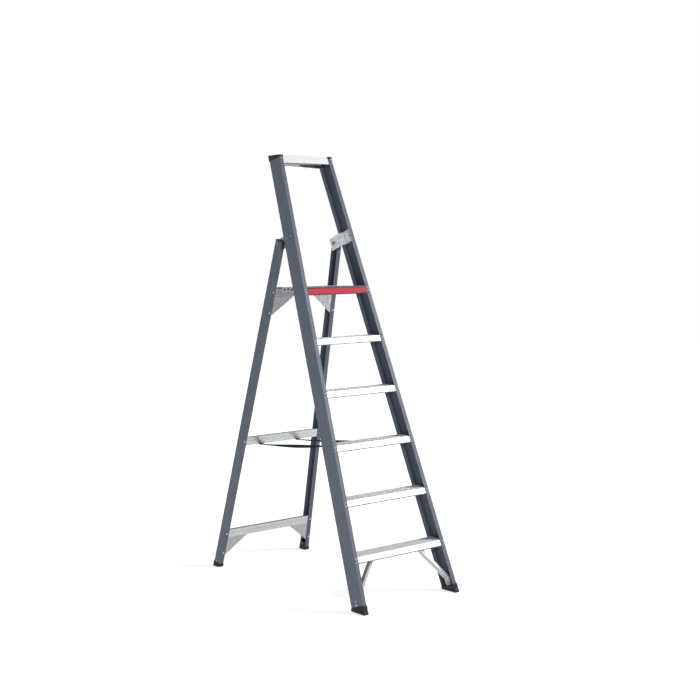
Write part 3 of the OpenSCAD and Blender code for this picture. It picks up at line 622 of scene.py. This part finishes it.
def strap_section():
    """Points round the webbing's section, as shares of its half width and half thickness."""
    points = []
    for k in range(2 * STRAP_COLUMNS):
        turn = 2 * math.pi * (k + 0.5) / (2 * STRAP_COLUMNS)
        points.append((math.copysign(abs(math.cos(turn)) ** 0.5, math.cos(turn)),
                       math.copysign(abs(math.sin(turn)) ** 0.35, math.sin(turn))))
    return points


def make_strap(name, twist, material):
    """Flat webbing that twists and sags a little between the third tread and the middle crossbar."""
    low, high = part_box(name)
    middle = (low[0] + high[0]) / 2
    front = Vector((middle, low[1], high[2] - STRAP_THICK / 2))
    rear = Vector((middle, high[1], low[2] + STRAP_THICK / 2))
    line = strap_line(front, rear, twist)
    mesh = bmesh.new()
    rings = []
    for i, (place, roll) in enumerate(line):
        before = line[max(i - 1, 0)][0]
        after = line[min(i + 1, len(line) - 1)][0]
        ahead = (after - before).normalized()
        side = Matrix.Rotation(roll, 3, ahead) @ Vector((1.0, 0.0, 0.0))
        up = side.cross(ahead).normalized()
        rings.append([mesh.verts.new(place + side * across * STRAP_WIDTH / 2 + up * thick * STRAP_THICK / 2)
                      for across, thick in strap_section()])
    join_rings(mesh, rings)
    mesh.faces.new(rings[0])
    mesh.faces.new(tuple(reversed(rings[-1])))
    strap = finish_piece(f"{name}_webbing", mesh, material)
    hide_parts(name)
    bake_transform(strap)


# ---- Shoes ----

FOOT_HALF_WIDTH = 0.2835
SIDE_TAPER = 0.062
SOLE = 0.006
BOOT_CORNER = 0.003
CORNER_STEPS = 5
STILE_SECTION = (0.0225, 0.0825)
LEG_SECTION = (0.024, 0.0475)
FRONT_RIM = 0.006
REAR_RIM = 0.010
TONGUE_RIB_PITCH = 0.009
# Share of the way up a boot's wall, and how far the wall stands off the member there
GRIP_PROFILE = [(0.0, 0.0022), (0.05, 0.0025), (0.38, 0.0025), (0.42, 0.0015), (0.50, 0.0015), (0.54, 0.0025),
                (0.93, 0.0025), (1.0, 0.0017)]


def foot_frame(heel, tilt, side):
    """A foot's own axes: X inwards from the member's web, Y back from its front face, Z along it."""
    lean = math.atan(SIDE_TAPER * math.cos(tilt))
    mirror = Matrix.Diagonal((-side, 1.0, 1.0, 1.0))
    return (mirror @ Matrix.Translation((0.0, heel, 0.0)) @ Matrix.Rotation(tilt, 4, "X")
            @ Matrix.Translation((-FOOT_HALF_WIDTH, 0.0, 0.0)) @ Matrix.Rotation(lean, 4, "Y"))


def boot_outline(width, depth, skin):
    """A rounded rectangle that stands off a member's outline by the skin."""
    points = []
    for quarter, (x, y) in enumerate(((width, depth), (0.0, depth), (0.0, 0.0), (width, 0.0))):
        along_x = 1 if x > 0 else -1
        along_y = 1 if y > 0 else -1
        for i in range(CORNER_STEPS + 1):
            turn = math.pi / 2 * (quarter + i / CORNER_STEPS)
            points.append((x + along_x * (skin - BOOT_CORNER) + BOOT_CORNER * math.cos(turn),
                           y + along_y * (skin - BOOT_CORNER) + BOOT_CORNER * math.sin(turn)))
    return points


def add_block(mesh, place, low, high, bevel):
    """A block with chamfered edges, in a foot's own axes."""
    middle = (Vector(low) + Vector(high)) / 2
    size = Matrix.Diagonal((*(Vector(high) - Vector(low)), 1.0))
    made = bmesh.ops.create_cube(mesh, size=1.0, matrix=place @ Matrix.Translation(middle) @ size)
    edges = {edge for point in made["verts"] for edge in point.link_edges}
    bmesh.ops.bevel(mesh, geom=list(edges), offset=bevel, segments=2, affect="EDGES", profile=0.5)


def add_boot(mesh, place, width, depth, start, rim):
    """A boot round a member's foot: grooved walls from the floor to a rim above the member's lower end."""
    lift = place.col[2].z

    def ring(skin, share=None, along=0.0):
        points = []
        for x, y in boot_outline(width, depth, skin):
            on_floor = -(place @ Vector((x, y, 0.0))).z / lift
            height = along if share is None else on_floor + (start + rim - on_floor) * share
            points.append(mesh.verts.new(place @ Vector((x, y, height))))
        return points

    recess = ring(-0.004, share=0.0)
    for point in recess:
        point.co.z += 0.0015
    rings = [recess, ring(-0.0025, share=0.0)]
    rings += [ring(skin, share=share) for share, skin in GRIP_PROFILE]
    rings += [ring(-0.0002, along=start + rim), ring(-0.0002, along=start - 0.001)]
    join_rings(mesh, rings)
    mesh.faces.new(rings[0])
    mesh.faces.new(rings[-1])


def make_shoe(name, body, place, section, start, rim, tongues, material):
    """A rubber shoe: the boot, and ribbed tongues that reach up inside the member."""
    mesh = bmesh.new()
    add_boot(mesh, place, *section, start, rim)
    for low, high in tongues:
        add_block(mesh, place, (*low, start - 0.0015), (high[0], high[1], start + high[2]), 0.0012)
        for rise in range(1, int(high[2] / TONGUE_RIB_PITCH)):
            along = start + TONGUE_RIB_PITCH * rise
            add_block(mesh, place, (high[0] - 0.001, low[1] + 0.0015, along),
                      (high[0] + 0.0008, high[1] - 0.0015, along + 0.003), 0.0004)
    shoe = finish_piece(f"{name}_boot", mesh, material)
    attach(shoe, body)
    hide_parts(name)


def make_shoes():
    """The four shoes. A tongue is given by its near corner, then its far corner and its height."""
    # The rubber's edges are painted three times paler: partly rubbed wear, partly a painted highlight.
    rubber = moulded("black_rubber", (0.0085, 0.0078, 0.0098), (0.45, 0.65), wear_and_highlight=3.0)
    stile_start = (SOLE + STILE_SECTION[1] * math.sin(STILE_TILT)) / math.cos(STILE_TILT)
    leg_start = SOLE / math.cos(LEG_TILT)
    stile_tongues = [((0.0027, 0.0608), (0.0217, 0.0798, 0.063)),
                     ((0.0027, 0.0027), (0.0217, 0.0107, 0.021))]
    leg_tongues = [((0.0024, 0.0024), (0.0230, 0.0451, 0.033))]
    for name, side in SIDES:
        make_shoe(f"{name}_front_shoe", "front_frame", foot_frame(-STILE_FOOT_Y, -STILE_TILT, side),
                  STILE_SECTION, stile_start, FRONT_RIM, stile_tongues, rubber)
        make_shoe(f"{name}_rear_shoe", "rear_frame", foot_frame(LEG_FOOT_Y, LEG_TILT, side),
                  LEG_SECTION, leg_start, REAR_RIM, leg_tongues, rubber)


# ---- Cap lips ----

LIP_DROP = 0.013
LIP_INSET = 0.0006


def make_cap_lips():
    """The stile caps' front lips, which fold down over the front flanges."""
    plastic = moulded("lip_plastic", (0.012, 0.012, 0.014))
    for name, side in SIDES:
        place = foot_frame(-STILE_FOOT_Y, -STILE_TILT, side)
        cap_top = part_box(f"{name}_stile_cap")[1][2] - LIP_INSET
        top = (cap_top - place.translation.z) / place.col[2].z
        mesh = bmesh.new()
        for thickness, low, high in ((0.0012, LIP_DROP, 0.0), (0.0016, 0.0025, 0.0004)):
            add_block(mesh, place, (-0.0010, -thickness, top - low), (0.0223, 0.0003, top - high), 0.0004)
        lip = finish_piece(f"{name}_cap_lip", mesh, plastic)
        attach(lip, "front_frame")


make_camera()
make_studio()
dress_frame()
make_shoes()
make_cap_lips()
black_webbing = webbing()
make_strap("left_strap", math.radians(-30), black_webbing)
make_strap("right_strap", math.radians(-20), black_webbing)
